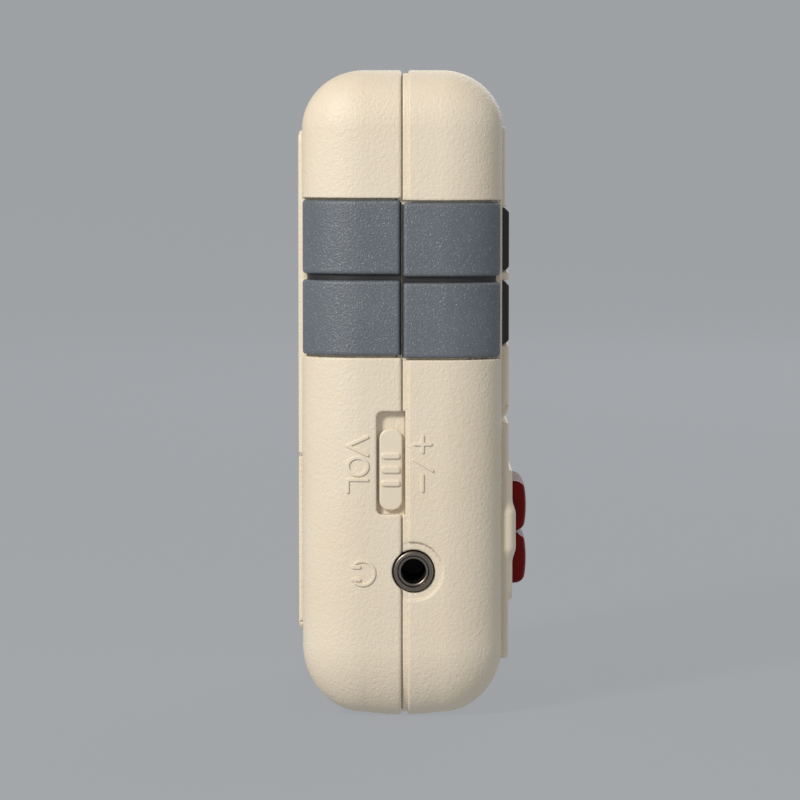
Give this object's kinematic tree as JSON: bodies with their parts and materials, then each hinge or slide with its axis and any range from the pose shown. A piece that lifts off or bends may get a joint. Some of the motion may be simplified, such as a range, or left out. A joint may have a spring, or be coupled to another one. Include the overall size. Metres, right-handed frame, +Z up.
{
  "type": "microcassette dictation machine",
  "caption": "Upright pocket microcassette dictation machine with a hinged cassette door, red keys, side volume slide and earphone socket.",
  "frame": {"origin": "middle of the bottom of the whole machine, on the surface it stands on", "axes": "+Z up along the machine's height; -Y is the front with the keys and cassette door; -X is the side with the volume slide and the earphone socket"},
  "size_m": [0.062, 0.0344, 0.097],
  "materials": {
    "cream_case": "fine leather-like moulded grain, satin",
    "grey_grip": "fine sparkle grain, satin",
    "cream_control": "smooth satin",
    "smoked_window": "smoked, polished",
    "red_key": "glossy, slightly translucent",
    "lamp_red": "clear red lens",
    "socket_metal": "dark nickel plate, turned",
    "steel": "brushed",
    "plated_steel": "zinc plated sheet",
    "brass": "turned",
    "spring_steel": "bright nickel",
    "black_plastic": "moulded",
    "white_plastic": "moulded",
    "cassette_plastic": "fine texture",
    "tape": "wound tape",
    "rubber": "matt",
    "board_green": "solder mask",
    "cell_jacket": "printed foil jacket"
  },
  "bodies": {
    "case": {"front_shell": "cream_case", "rear_shell": "cream_case", "front_panel": "cream_case", "volume_potentiometer": "black_plastic", "wind_switch": "black_plastic", "earphone_socket_sleeve": "socket_metal", "earphone_socket_body": "black_plastic", "record_lamp": "lamp_red", "battery_bay": "black_plastic", "battery_lower": "cell_jacket", "battery_upper": "cell_jacket", "battery_contact_left": "spring_steel", "battery_contact_right": "spring_steel", "battery_spring_lower": "spring_steel", "battery_spring_upper": "spring_steel", "chassis_plate": "plated_steel", "cassette_shell": "cassette_plastic", "motor": "steel", "drive_belt": "rubber", "main_board": "board_green", "key_board": "board_green", "speaker": "black_plastic", "microphone": "socket_metal", "case_screw_left": "steel", "case_screw_right": "steel", "grip_upper_front_left": "grey_grip", "grip_upper_front_right": "grey_grip", "grip_upper_rear_left": "grey_grip", "grip_upper_rear_right": "grey_grip", "grip_lower_front_left": "grey_grip", "grip_lower_front_right": "grey_grip", "grip_lower_rear_left": "grey_grip", "grip_lower_rear_right": "grey_grip"},
    "cassette_door_body": {"cassette_door": "cream_case", "window_lower": "smoked_window", "window_upper": "smoked_window", "cassette_door_pin": "steel"},
    "battery_door_body": {"battery_door": "cream_case", "battery_door_pin": "steel"},
    "volume_slider": {"volume_knob": "cream_control"},
    "wind_slider": {"wind_knob": "cream_control"},
    "play_button": {"play_key": "red_key"},
    "record_button": {"record_key": "red_key"},
    "head_carriage": {"head_plate": "plated_steel", "playback_head": "socket_metal", "erase_head": "black_plastic"},
    "pinch_lever": {"pinch_arm": "plated_steel"},
    "pinch_wheel": {"pinch_roller": "rubber"},
    "flywheel_body": {"flywheel_capstan": "brass"},
    "motor_pulley_body": {"motor_pulley": "brass"},
    "takeup_body": {"takeup_spindle": "white_plastic", "takeup_reel": "tape"},
    "supply_body": {"supply_spindle": "white_plastic", "supply_reel": "tape"}
  },
  "joints": [
    {"name": "cassette_door_hinge", "type": "hinge", "parent": "case", "child": "cassette_door_body", "pos_m": [0, -0.01215, 0.0467], "axis": [1, 0, 0], "range_deg": [0, 85]},
    {"name": "battery_door_hinge", "type": "hinge", "parent": "case", "child": "battery_door_body", "pos_m": [0, 0.01505, 0.014], "axis": [-1, 0, 0], "range_deg": [0, 85]},
    {"name": "volume_slide", "type": "slide", "parent": "case", "child": "volume_slider", "axis": [0, 0, 1], "range_m": [-0.0003, 0.0023]},
    {"name": "wind_slide", "type": "slide", "parent": "case", "child": "wind_slider", "axis": [0, 0, 1], "range_m": [-0.0013, 0.0013], "stiffness_N_per_m": 300},
    {"name": "play_press", "type": "slide", "parent": "case", "child": "play_button", "axis": [0, 1, 0], "range_m": [0, 0.0015], "stiffness_N_per_m": 400},
    {"name": "record_press", "type": "slide", "parent": "case", "child": "record_button", "axis": [0, 1, 0], "range_m": [0, 0.0015], "stiffness_N_per_m": 400},
    {"name": "head_slide", "type": "slide", "parent": "case", "child": "head_carriage", "axis": [0, 0, 1], "range_m": [0, 0.003]},
    {"name": "pinch_turn", "type": "hinge", "parent": "case", "child": "pinch_lever", "pos_m": [0.024, 0.00165, 0.0443], "axis": [0, 1, 0], "range_deg": [0, 19]},
    {"name": "flywheel_spin", "type": "hinge", "parent": "case", "child": "flywheel_body", "pos_m": [0.0145, 0.00165, 0.0525], "axis": [0, 1, 0], "continuous": true},
    {"name": "motor_spin", "type": "hinge", "parent": "case", "child": "motor_pulley_body", "pos_m": [-0.007, 0.00165, 0.084], "axis": [0, 1, 0], "continuous": true},
    {"name": "takeup_spin", "type": "hinge", "parent": "case", "child": "takeup_body", "pos_m": [0.0105, 0.00165, 0.06605], "axis": [0, 1, 0], "continuous": true},
    {"name": "supply_spin", "type": "hinge", "parent": "case", "child": "supply_body", "pos_m": [-0.0105, 0.00165, 0.06605], "axis": [0, 1, 0], "continuous": true},
    {"name": "pinch_roller_spin", "type": "hinge", "parent": "pinch_lever", "child": "pinch_wheel", "pos_m": [0.0145, 0.00165, 0.0452], "axis": [0, 1, 0], "continuous": true}
  ],
  "couplings": [
    {"joint": "head_slide", "follows": "play_press", "ratio": 2},
    {"joint": "pinch_turn", "follows": "play_press", "rad_per_m": 217.6},
    {"joint": "motor_spin", "follows": "flywheel_spin", "ratio": 3.74},
    {"joint": "takeup_spin", "follows": "flywheel_spin", "ratio": -3.155},
    {"joint": "supply_spin", "follows": "flywheel_spin", "ratio": -2.058},
    {"joint": "pinch_roller_spin", "follows": "flywheel_spin", "ratio": -0.3333}
  ]
}
